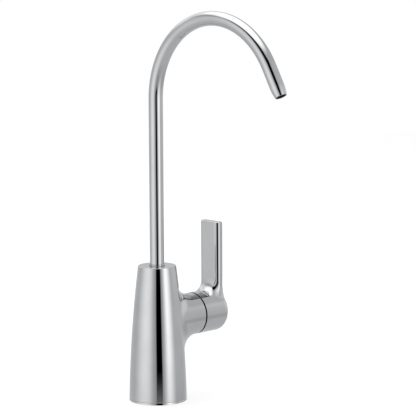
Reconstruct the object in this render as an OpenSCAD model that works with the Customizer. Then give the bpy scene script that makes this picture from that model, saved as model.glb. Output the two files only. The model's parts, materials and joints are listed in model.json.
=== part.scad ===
// Drinking water filter tap: a bowed conical body that stands on the deck, a gooseneck
// spout that swivels in its top, and a side valve that an upright lever turns.
// Millimetres. Origin at the centre of the foot on the deck, +Z up, spout towards -Y,
// valve branch and lever towards +X. The fastening lies below the deck, at negative Z.

/* [Body] */
// Diameter of the foot on the deck
base_d = 38.6; // [36:0.1:44]
// Diameter of the flat top
top_d = 25.4; // [24:0.1:30]
// Height of the body above the deck
body_h = 91; // [88:0.5:105]
// Radius of the bow in the body's side
flank_r = 880; // [500:10:2000]
// Chamfer around the flat top
rim_edge = 0.5; // [0.2:0.1:1]
// Chamfer around the bottom of the body
foot_edge = 0.3; // [0.2:0.1:0.8]
// Height of the trim ring under the body
foot_ring_h = 1.4; // [1:0.1:3]
// Width of the trim ring under the body
foot_ring_w = 2.4; // [1.6:0.1:3]
// Taper of the trim ring's side
foot_ring_taper = 0.25; // [0:0.05:0.5]
// Depth of the hollow under the foot
hollow_h = 30; // [20:1:36]
// Wall between the hollow and the outside of the foot
foot_wall = 5.9; // [5:0.1:7]

/* [Side branch] */
// Height of the valve axis above the deck
valve_h = 54; // [52:0.5:58]
// Diameter of the branch and of the lever's hub
branch_d = 28.3; // [27:0.1:31]
// Reach of the branch from the body's axis
branch_reach = 31.8; // [31:0.1:38]
// Radius of the fillet between branch and body
branch_fillet = 13.3; // [6:0.1:16]

/* [Lever] */
// Open seam between the branch and the lever's hub
seam = 1.05; // [0.4:0.05:1.2]
// Length of the hub
hub_len = 22.5; // [21:0.05:28]
// Rounding of the hub's outer end
hub_edge = 5.4; // [2:0.1:8]
// Width of the blade
blade_w = 17.1; // [14:0.1:20]
// Thickness of the blade
blade_t = 5.8; // [4.6:0.05:7]
// Step from the hub's outer end to the blade's outer face
blade_step = 1.9; // [0.5:0.1:3]
// Height of the blade's top above the valve axis
blade_h = 61.4; // [45:0.1:80]
// Rounding of the blade's upright edges at its outer face
blade_edge = 1.2; // [1.2:0.1:2.2]
// Rounding of the blade's upright edges at its inner face
blade_inner_edge = 3; // [1.2:0.1:3.1]
// Rounding of the blade's top edge
blade_top_edge = 0.9; // [0.3:0.1:1.1]
// Fillet from the blade's inner face to the hub
inner_fillet = 9.5; // [4:0.1:12]
// Fillet from the blade's narrow sides to the hub
side_fillet = 11; // [5:0.1:16]

/* [Valve] */
// Distance from the body's axis to the valve seat
seat_x = 7; // [6.6:0.1:8]
// Bore of the valve chamber
chamber_d = 21; // [20:0.1:22.5]
// Water passages inside the body
passage_d = 5.6; // [4:0.1:6.5]
// Thickness of the rubber seat seal
seal_t = 3; // [2:0.1:3.6]
// Diameter of the ceramic discs
disc_d = 14.8; // [13:0.1:16]
// Thickness of each ceramic disc
disc_t = 3; // [2.4:0.1:3.6]
// Thickness of the spindle's foot
foot_t = 2.6; // [2:0.1:3.2]
// Thickness of the thrust washer
thrust_t = 0.6; // [0.4:0.1:1]
// Length of the cartridge's neck
neck_len = 5.8; // [5.4:0.1:6.4]
// Diameter of the spindle in the neck
spindle_d = 10; // [9:0.1:11]
// Outside diameter of the spindle's spline
spline_d = 8; // [7:0.1:9]
// Number of spline teeth
spline_teeth = 20; // [16:1:24]
// Length of the spline
spline_len = 11; // [10:0.1:13]
// Diameter of the lever's grub screw
lever_screw_d = 4.8; // [3:0.1:5]
// Length of the lever's grub screw
lever_screw_len = 5.6; // [4:0.1:6]
// Length of the plug that covers the lever's grub screw
plug_len = 2.4; // [1.5:0.1:3]

/* [Spout] */
// Outside diameter of the spout tube
tube_d = 9.5; // [8:0.1:11]
// Wall of the spout tube
tube_wall = 0.9; // [0.6:0.05:1.2]
// Height above the deck where the bend starts
riser_top = 202.2; // [160:0.1:260]
// Radius of the bend at the tube's centre line
bend_r = 55.7; // [40:0.1:80]
// Angle of the bend
bend_angle = 150; // [120:1:180]
// Straight run from the bend to the outlet
end_len = 20.8; // [17:0.1:40]
// Length of the taper at the outlet
tip_len = 7.5; // [4:0.1:12]
// Diameter of the outlet's rim
tip_d = 7.7; // [7:0.1:8.4]
// Wall at the outlet's rim
tip_wall = 0.4; // [0.3:0.05:0.6]
// Length of the flow straightener
straightener_len = 9; // [6:0.1:12]
// Recess of the flow straightener behind the rim
straightener_recess = 0.4; // [0.2:0.1:1]

/* [Swivel] */
// Depth of the spout's socket in the body
socket_depth = 29; // [28:0.1:31]
// Wall of the bearing bush
bush_wall = 0.5; // [0.4:0.05:0.8]
// Length of the bearing bush
bush_len = 10; // [7:0.1:11]
// Recess of the bush below the body's top
bush_recess = 0.8; // [0.3:0.1:1.5]
// Thickness of the spout's sealing rings
spout_ring_t = 1.8; // [1.4:0.1:2]
// Width of the groove that keeps the spout down
keep_groove = 2.4; // [2.2:0.1:3]
// Diameter of the retaining screw
keep_screw_d = 3.9; // [3:0.1:5]
// Length of the retaining screw
keep_screw_len = 6.5; // [5:0.1:8]

/* [Deck fastening] */
// Outside diameter of the threaded shank
shank_d = 11.1; // [10:0.1:12.5]
// Length of the shank's thread inside the body
shank_grip = 18.5; // [12:0.5:24]
// Wall of the boss around the shank
boss_wall = 3.4; // [2.5:0.1:4]
// Thickness of the deck that the tap is clamped to
deck_t = 30; // [3:1:45]
// Diameter of the rubber washer below the deck
deck_washer_d = 32; // [26:0.5:40]
// Thickness of the rubber washer below the deck
deck_washer_t = 3; // [2:0.1:5]
// Diameter of the steel washer
clamp_washer_d = 30; // [24:0.5:38]
// Thickness of the steel washer
clamp_washer_t = 1.6; // [1:0.1:3]
// Width across the flats of the mounting nut
nut_flats = 19; // [17:0.5:24]
// Height of the mounting nut
nut_h = 8; // [5:0.1:12]
// Free thread below the nut for the supply fitting
supply_thread = 14; // [10:0.5:20]
// Outside diameter of the supply tube
supply_tube_d = 6.35; // [6:0.05:8]
// Depth of the supply tube's seat
supply_seat = 12; // [8:0.5:16]
// Width of the rubber ring inside the trim ring
gasket_w = 2.2; // [1.6:0.1:2.6]

/* [Hidden] */
$fn = 96;

// Clearances: running fits, seated fits, threads and cuts that run past a face
run_gap = 0.08;
seat_gap = 0.03;
thread_gap = 0.05;
face_gap = 0.1;
past = 1;

// Bowed side of the body: a circular arc in the half plane of radius and height
base_r = base_d / 2;
top_r = top_d / 2;
flank_chord = norm([base_r - top_r, body_h]);
flank_mid = [(base_r + top_r) / 2, body_h / 2];
flank_side = [-body_h, top_r - base_r] / flank_chord;
flank_c = flank_mid + flank_side * sqrt(pow(flank_r, 2) - pow(flank_chord / 2, 2));
flank_steps = 14;
function flank(z) = flank_c[0] + sqrt(pow(flank_r, 2) - pow(z - flank_c[1], 2));

// Branch and its fillet, which its own walls limit
branch_r = branch_d / 2;
fillet_room = min(
    branch_reach - flank(valve_h - branch_r - branch_fillet) - face_gap,
    body_h - rim_edge - valve_h - branch_r - face_gap
);
fillet_r = min(branch_fillet, fillet_room);
fillet_sink = 0.03;
fillet_anchor = 3;
fillet_turns = 72;
fillet_steps = 10;

// Chamber, mouth and cartridge, stacked outwards from the seat
chamber_r = chamber_d / 2;
mouth_step = 1;
mouth_r = chamber_r + mouth_step;
passage_r = passage_d / 2;
disc_r = disc_d / 2;
spindle_r = spindle_d / 2;
disc_x = seat_x + seal_t;
moving_x = disc_x + disc_t;
foot_x = moving_x + disc_t;
thrust_x = foot_x + foot_t;
neck_x = thrust_x + thrust_t;
cartridge_x = neck_x + neck_len;
housing_wall = 1.5;
housing_x = seat_x + seal_t / 2;
housing_bore_r = disc_r + face_gap;
housing_r = housing_bore_r + housing_wall;
flange_t = 3;
flange_r = chamber_r - face_gap;
window_w = 7;
window_edge = 0.6;
ring_groove = 1.3;
ring_pitch = (neck_len - 2 * ring_groove) / 3 + ring_groove;
spindle_ring_x = [for (i = [1, 2]) neck_x + i * ring_pitch - ring_groove];
port_d = 4;
port_web = 0.6;
port_offset = (disc_r + port_web) / 2;
notch_margin = 0.4;
notch_w = port_d + notch_margin;
seal_bore_r = port_offset + port_d / 2;
tang_w = 3;
tang_len = 10;
tang_h = 1.6;
tang_wall = 0.8;
notch_in = tang_w / 2 + tang_wall;
nut_step = 0.8;
nut_x = branch_reach - nut_step;
nut_hex_len = 6;
nut_shoulder = 1.1;
nut_hex_r = mouth_r - nut_shoulder;
nut_bore_gap = 0.5;
nut_bore_r = spindle_r + nut_bore_gap;

// Glide ring that fills the seam, set in from the outside
glide_inset = 0.75;
glide_w = 1.3;

// Lever
hub_x = branch_reach + seam;
hub_end = hub_x + hub_len;
blade_out = hub_end - blade_step;
blade_in = blade_out - blade_t;
blade_top = valve_h + blade_h;
blade_root = valve_h + blade_edge;
cavity_lip = 0.2;
cavity_r = mouth_r - cavity_lip;
cavity_gap = 0.6;
cavity_len = nut_hex_len - nut_step + cavity_gap;
spline_x = hub_x + cavity_len - nut_step;
spline_end = spline_x + spline_len;
spline_r = spline_d / 2;
tooth_h = 0.4;
lever_screw_x = spline_x + spline_len / 2;
neck_margin = 0.8;
screw_neck = lever_screw_d + neck_margin;
screw_neck_r = spline_r - neck_margin;
screw_in = screw_neck_r + seat_gap;
plug_wall = 0.5;
plug_r = lever_screw_d / 2 + plug_wall;
plug_out = sqrt(pow(branch_r, 2) - pow(plug_r, 2)) - seat_gap;
corner_steps = 6;
face_steps = 16;
side_steps = 12;

// Swivel socket and the spout's end piece
tube_r = tube_d / 2;
tube_bore_r = tube_r - tube_wall;
socket_r = tube_r + run_gap + bush_wall + seat_gap;
socket_z = body_h - socket_depth;
bush_top = body_h - bush_recess;
bush_z = bush_top - bush_len;
end_r = socket_r - run_gap;
end_wall = 0.85;
end_bore_r = tube_bore_r - end_wall;
end_gap = 1;
end_top = bush_z - end_gap;
end_z = socket_z + passage_d - end_gap;
spigot_len = 6;
spigot_r = tube_bore_r - seat_gap;
keep_rim = 0.9;
keep_z = end_top - keep_rim - keep_groove / 2;
keep_depth = 1.1;
keep_play = 0.4;
keep_tip_w = keep_groove - keep_play;
ring_gap = 0.6;
spout_ring_z = [for (i = [0, 1]) end_z + ring_gap + i * (spout_ring_t + ring_gap)];

// Spout bend and outlet
tip_r = tip_d / 2;
tip_bore_r = tip_r - tip_wall;
tip_steps = 10;
run_len = end_len - tip_len;
hole_r = 0.75;
hole_wall = 0.45;
hole_ring_r = tip_bore_r - hole_r - hole_wall;
holes = 6;

// Shank, washers and nut
shank_r = shank_d / 2;
supply_step = 0.4;
shank_bore_r = supply_tube_d / 2 - supply_step;
supply_r = supply_tube_d / 2 + thread_gap;
washer_gap = 0.3;
deck_z = -deck_t;
clamp_z = deck_z - deck_washer_t;
nut_z = clamp_z - clamp_washer_t;
relief = 2;
relief_depth = 0.8;
relief_z = nut_z - nut_h - 2 * relief;
shank_end = relief_z - supply_thread;
shank_seal_t = 1.5;
foot_ring_in = base_r - foot_ring_w;
boss_r = shank_r + boss_wall;

// Turns a shape built along +Z onto the valve axis, with its foot at x
module on_valve(x) {
    translate([x, 0, valve_h]) rotate([0, 90, 0]) children();
}

// Ring or tube along +Z
module ring(outer, inner, height) {
    difference() {
        cylinder(r = outer, h = height);
        translate([0, 0, -past]) cylinder(r = inner, h = height + 2 * past);
    }
}

// Round sealing ring of a given section, lying with its foot at z = 0
module seal_ring(inner, thickness) {
    translate([0, 0, thickness / 2])
        rotate_extrude() translate([inner + thickness / 2, 0]) circle(d = thickness, $fn = 48);
}

// Joins sections of equal point counts into one closed solid
module loft(sections, closed = false) {
    n = len(sections[0]);
    m = len(sections);
    last = closed ? m - 1 : m - 2;
    sides = [
        for (i = [0:last], j = [0:n - 1], half = [0, 1])
            let (a = i * n + j, b = i * n + (j + 1) % n)
            let (c = (i + 1) % m * n + (j + 1) % n, d = (i + 1) % m * n + j)
            half == 0 ? [c, b, a] : [d, c, a]
    ];
    caps = closed ? [] : [[for (j = [0:n - 1]) j], [for (j = [n - 1:-1:0]) (m - 1) * n + j]];
    polyhedron(points = [for (s = sections, p = s) p], faces = concat(sides, caps));
}

// Section of a rolling-ball fillet: the arc between two contacts, and an anchor in the metal.
// The ball's centre is c and its radius k; u and w are the two surfaces' outward normals.
function fillet_section(c, u, w, k) =
    let (angle = acos(u * w), deep = k / cos(angle / 2) + fillet_anchor)
    concat(
        [
            for (i = [0:fillet_steps])
                let (t = i / fillet_steps)
                c - (k + fillet_sink) * (sin((1 - t) * angle) * u + sin(t * angle) * w) / sin(angle)
        ],
        [c - deep * (u + w) / norm(u + w)]
    );

// Fillet between the bowed side and the branch, one section for each angle about the branch
function branch_section(a) =
    let (y = (branch_r + fillet_r) * cos(a), z = valve_h + (branch_r + fillet_r) * sin(a))
    let (r = flank_c[0] + sqrt(pow(flank_r + fillet_r, 2) - pow(z - flank_c[1], 2)))
    let (x = sqrt(r * r - y * y), tilt = (r - flank_c[0]) / (flank_r + fillet_r))
    let (u = [x / r * tilt, y / r * tilt, (z - flank_c[1]) / (flank_r + fillet_r)])
    fillet_section([x, y, z], u, [0, cos(a), sin(a)], fillet_r);

module branch_fillet_ring() {
    loft([for (i = [0:fillet_turns - 1]) branch_section(-360 * i / fillet_turns)], closed = true);
}

module body_outside() {
    rotate_extrude() polygon(concat(
        [[0, foot_ring_h], [flank(foot_ring_h) - foot_edge, foot_ring_h]],
        [
            for (i = [0:flank_steps])
                let (low = foot_ring_h + foot_edge, high = body_h - rim_edge)
                let (z = low + (high - low) * i / flank_steps)
                [flank(z), z]
        ],
        [[flank(body_h) - rim_edge, body_h], [0, body_h]]
    ));
    on_valve(0) cylinder(r = branch_r, h = branch_reach);
    branch_fillet_ring();
}

// Passage from the side of the valve chamber up to the bottom of the spout's socket
module outlet_passage() {
    from = [seat_x + chamber_r * 2 / 3, valve_h + chamber_r - passage_r - face_gap];
    to = [0, socket_z + passage_r];
    translate([from[0], 0, from[1]])
        rotate([0, atan2(to[0] - from[0], to[1] - from[1]), 0])
            cylinder(r = passage_r, h = norm(to - from));
}

module body() {
    color("silver") difference() {
        body_outside();
        on_valve(seat_x) cylinder(r = chamber_r, h = branch_reach);
        on_valve(cartridge_x - face_gap) cylinder(r = mouth_r, h = branch_reach);
        on_valve(0) cylinder(r = passage_r, h = seat_x + past);
        cylinder(r = passage_r, h = valve_h);
        outlet_passage();
        translate([0, 0, socket_z]) cylinder(r = socket_r, h = socket_depth + past);
        translate([0, 0, -past]) cylinder(r = shank_r + thread_gap, h = shank_grip + shank_seal_t + past);
        translate([0, 0, -past]) ring(base_r - foot_wall, boss_r, hollow_h + past);
        translate([0, 0, keep_z]) rotate([-90, 0, 0])
            cylinder(d = keep_screw_d + 2 * thread_gap, h = base_r);
    }
}

// Trim ring that the body stands on, a little wider on the deck than at its top
module foot_ring() {
    color("silver") rotate_extrude() polygon([
        [foot_ring_in, 0],
        [base_r, 0],
        [base_r - foot_ring_taper, foot_ring_h],
        [foot_ring_in, foot_ring_h]
    ]);
}

module base_gasket() {
    color("dimgray")
        ring(foot_ring_in - seat_gap, foot_ring_in - gasket_w, foot_ring_h);
}

module shank() {
    color("darkgoldenrod") difference() {
        translate([0, 0, shank_end]) cylinder(r = shank_r, h = shank_grip - shank_end);
        translate([0, 0, relief_z]) ring(shank_r + past, shank_r - relief_depth, relief);
        translate([0, 0, shank_end - past])
            cylinder(r = shank_bore_r, h = shank_grip - shank_end + 2 * past);
        translate([0, 0, shank_end - past]) cylinder(r = supply_r, h = supply_seat + past);
    }
}

module shank_seal() {
    color("dimgray") translate([0, 0, shank_grip])
        ring(shank_r - seat_gap, shank_bore_r, shank_seal_t);
}

module deck_washer() {
    color("dimgray") translate([0, 0, clamp_z])
        ring(deck_washer_d / 2, shank_r + washer_gap, deck_washer_t);
}

module clamp_washer() {
    color("lightgray") translate([0, 0, nut_z])
        ring(clamp_washer_d / 2, shank_r + washer_gap, clamp_washer_t);
}

module mounting_nut() {
    color("darkgoldenrod") translate([0, 0, nut_z - nut_h]) difference() {
        cylinder(d = nut_flats / cos(30), h = nut_h, $fn = 6);
        translate([0, 0, -past]) cylinder(r = shank_r + thread_gap, h = nut_h + 2 * past);
    }
}

module seat_seal() {
    color("dimgray") on_valve(seat_x) ring(disc_r - seat_gap, seal_bore_r, seal_t);
}

// Fixed ceramic disc with a port on either side
module fixed_disc() {
    color("white") on_valve(disc_x) difference() {
        cylinder(r = disc_r, h = disc_t);
        for (side = [-1, 1])
            translate([0, side * port_offset, -past]) cylinder(d = port_d, h = disc_t + 2 * past);
    }
}

// Notches above and below the axis, for a disc or foot of a given thickness
module notches(height) {
    for (side = [-1, 1])
        translate([side * (notch_in + disc_r), 0, height / 2])
            cube([2 * disc_r, notch_w, height + 2 * past], center = true);
}

module moving_disc() {
    color("white") on_valve(moving_x) difference() {
        cylinder(r = disc_r, h = disc_t);
        notches(disc_t);
        translate([0, 0, disc_t])
            cube([tang_w + 2 * face_gap, tang_len + 2 * face_gap, 2 * (tang_h + face_gap)], center = true);
    }
}

module cartridge_housing() {
    color("goldenrod") difference() {
        union() {
            on_valve(housing_x) cylinder(r = housing_r, h = cartridge_x - housing_x);
            on_valve(cartridge_x - flange_t) cylinder(r = flange_r, h = flange_t);
        }
        on_valve(housing_x - past) cylinder(r = housing_bore_r, h = neck_x - housing_x + past);
        on_valve(neck_x - past) cylinder(r = spindle_r + run_gap, h = neck_len + 2 * past);
        translate([moving_x + window_edge, -window_w / 2, valve_h - chamber_r])
            cube([thrust_x - moving_x - 2 * window_edge, window_w, 2 * chamber_r]);
        on_valve(cartridge_x - (flange_t + ring_groove) / 2)
            ring(chamber_r, flange_r - ring_groove + face_gap, ring_groove);
    }
}

module housing_ring() {
    color("dimgray") on_valve(cartridge_x - (flange_t + ring_groove) / 2)
        seal_ring(flange_r - ring_groove + face_gap, ring_groove - face_gap);
}

module cartridge_nut() {
    color("goldenrod") difference() {
        union() {
            on_valve(cartridge_x) cylinder(r = mouth_r - thread_gap, h = nut_x - cartridge_x);
            on_valve(nut_x) cylinder(r = nut_hex_r, h = nut_hex_len, $fn = 6);
        }
        on_valve(cartridge_x - past) cylinder(r = nut_bore_r, h = branch_reach);
    }
}

module thrust_washer() {
    color("ivory") on_valve(thrust_x) ring(housing_bore_r - seat_gap, spindle_r + run_gap, thrust_t);
}

module glide_ring() {
    color("black") on_valve(branch_reach)
        ring(branch_r - glide_inset, branch_r - glide_inset - glide_w, seam - face_gap);
}

module spout_bush() {
    color("ivory") translate([0, 0, bush_z]) ring(socket_r - seat_gap, tube_r + run_gap, bush_len);
}

// Retaining screw at the back of the body, whose tip runs in the spout's groove
module spout_keep_screw() {
    tip_y = end_r - keep_depth + face_gap;
    color("gray") translate([0, 0, keep_z]) rotate([-90, 0, 0]) difference() {
        union() {
            translate([0, 0, tip_y]) cylinder(d = keep_tip_w, h = keep_depth + face_gap);
            translate([0, 0, end_r + run_gap + face_gap]) cylinder(d = keep_screw_d, h = keep_screw_len);
        }
        translate([0, 0, end_r + keep_screw_len / 2])
            cylinder(d = keep_screw_d / 2, h = keep_screw_len, $fn = 6);
    }
}

// Hub of the lever: a cylinder whose outer end is rounded
module hub() {
    on_valve(hub_x) cylinder(r = branch_r, h = hub_len - hub_edge);
    on_valve(hub_x) cylinder(r = branch_r - hub_edge, h = hub_len);
    on_valve(hub_end - hub_edge)
        rotate_extrude() translate([branch_r - hub_edge, 0]) intersection() {
            circle(r = hub_edge);
            square(hub_edge);
        }
}

// Outline of the blade in plan, drawn in by a given inset
function blade_plan(inset, z) = [
    for (q = [0:3], i = [0:corner_steps])
        let (a = q * 90 + i * 90 / corner_steps)
        let (outer = q == 0 || q == 3)
        let (edge = outer ? blade_edge : blade_inner_edge)
        let (cx = outer ? blade_out - edge : blade_in + edge)
        let (cy = (q < 2 ? 1 : -1) * (blade_w / 2 - edge))
        [cx + (edge - inset) * cos(a), cy + (edge - inset) * sin(a), z]
];

module blade() {
    loft(concat(
        [blade_plan(0, blade_root)],
        [
            for (i = [0:corner_steps])
                let (a = i * 90 / corner_steps)
                blade_plan(blade_top_edge * (1 - cos(a)), blade_top - blade_top_edge * (1 - sin(a)))
        ]
    ));
}

// One section of the fillet at the foot of the blade: plan point, plan normal, radius, hub radius
function skirt_section(p, n, k, r) =
    let (y = p[1] + k * n[1], h = sqrt(pow(r + k, 2) - y * y))
    fillet_section(
        [p[0] + k * n[0], y, valve_h + h],
        [n[0], n[1], 0],
        [0, y, h] / (r + k),
        k
    );

// Hub radius at x, which falls away over the rounded end
function hub_r(x) =
    let (over = max(0, x - hub_end + hub_edge))
    branch_r - hub_edge + sqrt(pow(hub_edge, 2) - over * over);

// Narrow side of the blade at x, which turns in at the outer edge
function side_y(x) =
    let (over = max(0, x - blade_out + blade_edge))
    blade_w / 2 - blade_edge + sqrt(pow(blade_edge, 2) - over * over);

function skirt_side(side, t) =
    let (x = blade_in + blade_inner_edge + (blade_t - blade_inner_edge - fillet_sink) * t)
    skirt_section([x, side * side_y(x)], [0, side], side_fillet, hub_r(x));

function skirt_corner(side, t) =
    let (n = [-sin(t * 90), side * cos(t * 90)])
    let (c = [blade_in + blade_inner_edge, side * (blade_w / 2 - blade_inner_edge)])
    let (k = inner_fillet + (side_fillet - inner_fillet) * pow(n[1], 2))
    skirt_section(c + blade_inner_edge * n, n, k, branch_r);

function skirt_face(t) =
    skirt_section([blade_in, (blade_w / 2 - blade_inner_edge) * t], [-1, 0], inner_fillet, branch_r);

module blade_skirt() {
    loft(concat(
        [for (i = [side_steps:-1:1]) skirt_side(1, i / side_steps)],
        [for (i = [0:corner_steps]) skirt_corner(1, i / corner_steps)],
        [for (i = [1:face_steps - 1]) skirt_face(1 - 2 * i / face_steps)],
        [for (i = [corner_steps:-1:0]) skirt_corner(-1, i / corner_steps)],
        [for (i = [1:side_steps]) skirt_side(-1, i / side_steps)]
    ));
}

// Toothed outline of the spline, widened by a clearance
module spline(clearance, height) {
    linear_extrude(height) polygon([
        for (i = [0:2 * spline_teeth - 1])
            let (r = spline_r + clearance - (i % 2) * tooth_h, a = i * 180 / spline_teeth)
            [r * cos(a), r * sin(a)]
    ]);
}

// Turns a shape built along +Z to point down from the valve axis at the lever's grub screw
module at_lever_screw(radius) {
    translate([lever_screw_x, 0, valve_h - radius]) mirror([0, 0, 1]) children();
}

module lever() {
    color("silver") difference() {
        union() {
            hub();
            blade();
            blade_skirt();
        }
        on_valve(hub_x - past) cylinder(r = cavity_r, h = cavity_len + past);
        on_valve(hub_x) spline(face_gap, spline_end - hub_x + face_gap);
        at_lever_screw(0) cylinder(d = lever_screw_d + 2 * thread_gap, h = branch_r);
        at_lever_screw(plug_out - plug_len) cylinder(r = plug_r + seat_gap, h = branch_r);
    }
}

module lever_screw() {
    color("gray") at_lever_screw(screw_in) difference() {
        cylinder(d = lever_screw_d, h = lever_screw_len);
        translate([0, 0, lever_screw_len / 2])
            cylinder(d = lever_screw_d / 2, h = lever_screw_len, $fn = 6);
    }
}

module lever_plug() {
    color("silver") at_lever_screw(plug_out - plug_len) cylinder(r = plug_r, h = plug_len);
}

// Spindle: foot with its tang, sealed shaft, and the spline that carries the lever
module spindle() {
    color("goldenrod") difference() {
        union() {
            on_valve(foot_x) difference() {
                cylinder(r = disc_r - face_gap, h = foot_t);
                notches(foot_t);
            }
            on_valve(foot_x) cube([tang_w, tang_len, 2 * tang_h], center = true);
            on_valve(foot_x) cylinder(r = spindle_r - tooth_h, h = foot_t);
            on_valve(thrust_x) cylinder(r = spindle_r, h = spline_x - thrust_x);
            on_valve(spline_x) spline(0, spline_len);
        }
        for (x = spindle_ring_x)
            on_valve(x) ring(spindle_r + past, spindle_r - ring_groove, ring_groove);
        on_valve(lever_screw_x - screw_neck / 2) ring(spindle_r + past, screw_neck_r, screw_neck);
    }
}

module spindle_rings() {
    color("dimgray") for (x = spindle_ring_x)
        on_valve(x) seal_ring(spindle_r - ring_groove, ring_groove);
}

// Turns a shape built along +Z to start at the end of the bend and run out of the spout
module at_bend_end() {
    translate([0, -bend_r, riser_top]) rotate([bend_angle, 0, 0]) translate([0, bend_r, 0]) children();
}

// Bend from the top of the riser towards -Y, filled out from a given radius
module bend(radius) {
    translate([0, -bend_r, riser_top]) rotate([90, 0, 90])
        rotate_extrude(angle = bend_angle) translate([bend_r, 0]) circle(r = radius);
}

module spout_outside() {
    translate([0, 0, end_top]) cylinder(r = tube_r, h = riser_top - end_top);
    bend(tube_r);
    at_bend_end() {
        cylinder(r = tube_r, h = run_len);
        translate([0, 0, run_len]) rotate_extrude() polygon(concat(
            [[0, 0]],
            [
                for (i = [0:tip_steps])
                    let (t = i / tip_steps)
                    [tube_r - (tube_r - tip_r) * t * t, tip_len * t]
            ],
            [[0, tip_len]]
        ));
    }
}

module spout_tube() {
    tip_bore_len = straightener_len + straightener_recess;
    color("silver") difference() {
        spout_outside();
        translate([0, 0, end_top - past]) cylinder(r = tube_bore_r, h = riser_top - end_top + past);
        bend(tube_bore_r);
        at_bend_end() {
            cylinder(r = tube_bore_r, h = end_len - tip_bore_len);
            translate([0, 0, end_len - tip_bore_len]) cylinder(r = tip_bore_r, h = tip_bore_len + past);
        }
    }
}

// End piece in the foot of the spout: two seal grooves and the groove for the retaining screw
module spout_end() {
    color("goldenrod") difference() {
        union() {
            translate([0, 0, end_z]) cylinder(r = end_r, h = end_top - end_z);
            translate([0, 0, end_top]) cylinder(r = spigot_r, h = spigot_len);
        }
        translate([0, 0, end_z - past])
            cylinder(r = end_bore_r, h = end_top - end_z + spigot_len + 2 * past);
        for (z = spout_ring_z)
            translate([0, 0, z]) ring(end_r + past, end_r - spout_ring_t + run_gap, spout_ring_t);
        translate([0, 0, keep_z - keep_groove / 2]) ring(end_r + past, end_r - keep_depth, keep_groove);
    }
}

module spout_rings() {
    color("dimgray") for (z = spout_ring_z)
        translate([0, 0, z]) seal_ring(end_r - spout_ring_t + run_gap, spout_ring_t - face_gap);
}

module flow_straightener() {
    color("black") at_bend_end()
        translate([0, 0, end_len - straightener_recess - straightener_len]) difference() {
            cylinder(r = tip_bore_r - seat_gap, h = straightener_len);
            translate([0, 0, -past]) cylinder(r = hole_r, h = straightener_len + 2 * past, $fn = 24);
            for (i = [0:holes - 1])
                rotate(i * 360 / holes) translate([hole_ring_r, 0, -past])
                    cylinder(r = hole_r, h = straightener_len + 2 * past, $fn = 24);
        }
}

body();
foot_ring();
base_gasket();
shank();
shank_seal();
deck_washer();
clamp_washer();
mounting_nut();
seat_seal();
fixed_disc();
cartridge_housing();
housing_ring();
cartridge_nut();
thrust_washer();
glide_ring();
spout_bush();
spout_keep_screw();
lever();
lever_screw();
lever_plug();
spindle();
spindle_rings();
moving_disc();
spout_tube();
spout_end();
spout_rings();
flow_straightener();
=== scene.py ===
"""Looks of a drinking water filter tap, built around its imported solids.

The chromed pieces that show are remodelled as smooth meshes of the same size, the other
pieces keep their solids, and every piece gets a procedural finish. Lengths in the shape
code are millimetres, in the frame of the solids, and become metres in make_piece.
"""

import json
import math

import bpy
import numpy as np
from mathutils import Matrix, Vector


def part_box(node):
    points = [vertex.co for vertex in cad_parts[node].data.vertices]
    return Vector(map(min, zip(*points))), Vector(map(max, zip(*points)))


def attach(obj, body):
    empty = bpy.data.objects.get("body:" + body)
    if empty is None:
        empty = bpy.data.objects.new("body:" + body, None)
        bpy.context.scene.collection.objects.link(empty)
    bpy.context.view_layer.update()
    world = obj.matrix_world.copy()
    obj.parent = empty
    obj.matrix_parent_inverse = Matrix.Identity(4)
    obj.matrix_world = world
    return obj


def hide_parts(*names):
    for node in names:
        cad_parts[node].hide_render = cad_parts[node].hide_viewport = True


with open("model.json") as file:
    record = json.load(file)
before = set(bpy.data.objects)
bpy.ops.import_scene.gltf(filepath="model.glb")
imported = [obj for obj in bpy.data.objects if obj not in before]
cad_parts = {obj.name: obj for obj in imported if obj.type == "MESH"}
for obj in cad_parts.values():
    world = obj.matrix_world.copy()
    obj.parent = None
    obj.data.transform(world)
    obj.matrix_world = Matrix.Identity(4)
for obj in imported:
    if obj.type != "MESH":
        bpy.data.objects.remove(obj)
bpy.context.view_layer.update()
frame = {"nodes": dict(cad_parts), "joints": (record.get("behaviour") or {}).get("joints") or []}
nodes = frame["nodes"]
joints = {joint["name"]: joint for joint in frame["joints"]}
scene = bpy.context.scene
MM = 0.001
TINY = 1e-6
METRE_DIGITS = 6
JOIN_DIGITS = 4
X, Y, Z = np.eye(3)


def node_box(name):
    """Lowest and highest corner of a solid, in millimetres."""
    low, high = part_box(name)
    return np.array(low).round(METRE_DIGITS) / MM, np.array(high).round(METRE_DIGITS) / MM


BODY_LOW, BODY_HIGH = node_box("body")
LEVER_LOW, LEVER_HIGH = node_box("lever")
RING_LOW, RING_HIGH = node_box("foot_ring")
VALVE_Z = joints["lever_turn"]["pos_m"][2] / MM

# Sizes of the body
BASE_R = 19.3
TOP_R = 12.7
BODY_H = BODY_HIGH[2]
FOOT_Z = BODY_LOW[2]
FLANK_R = 880.0
RIM_RISE = 0.5
FOOT_RISE = 0.35
SOCKET_R = 5.36
SOCKET_Z = BODY_H - 29
SOCKET_ROUND = 0.25
HOLLOW_R = 13.4
HOLLOW_TOP = 30.0
HOLLOW_ROUND = 1.0
HOLLOW_RIM_ROUND = 0.3
BOSS_R = 8.95
BOSS_ROUND = 0.4
SHANK_BORE_R = 5.6
SHANK_BORE_TOP = 20.0
SCREW_HOLE_R = 2.0
SCREW_HOLE_Z = 77.1
SCREW_HOLE_END = 6.0

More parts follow.
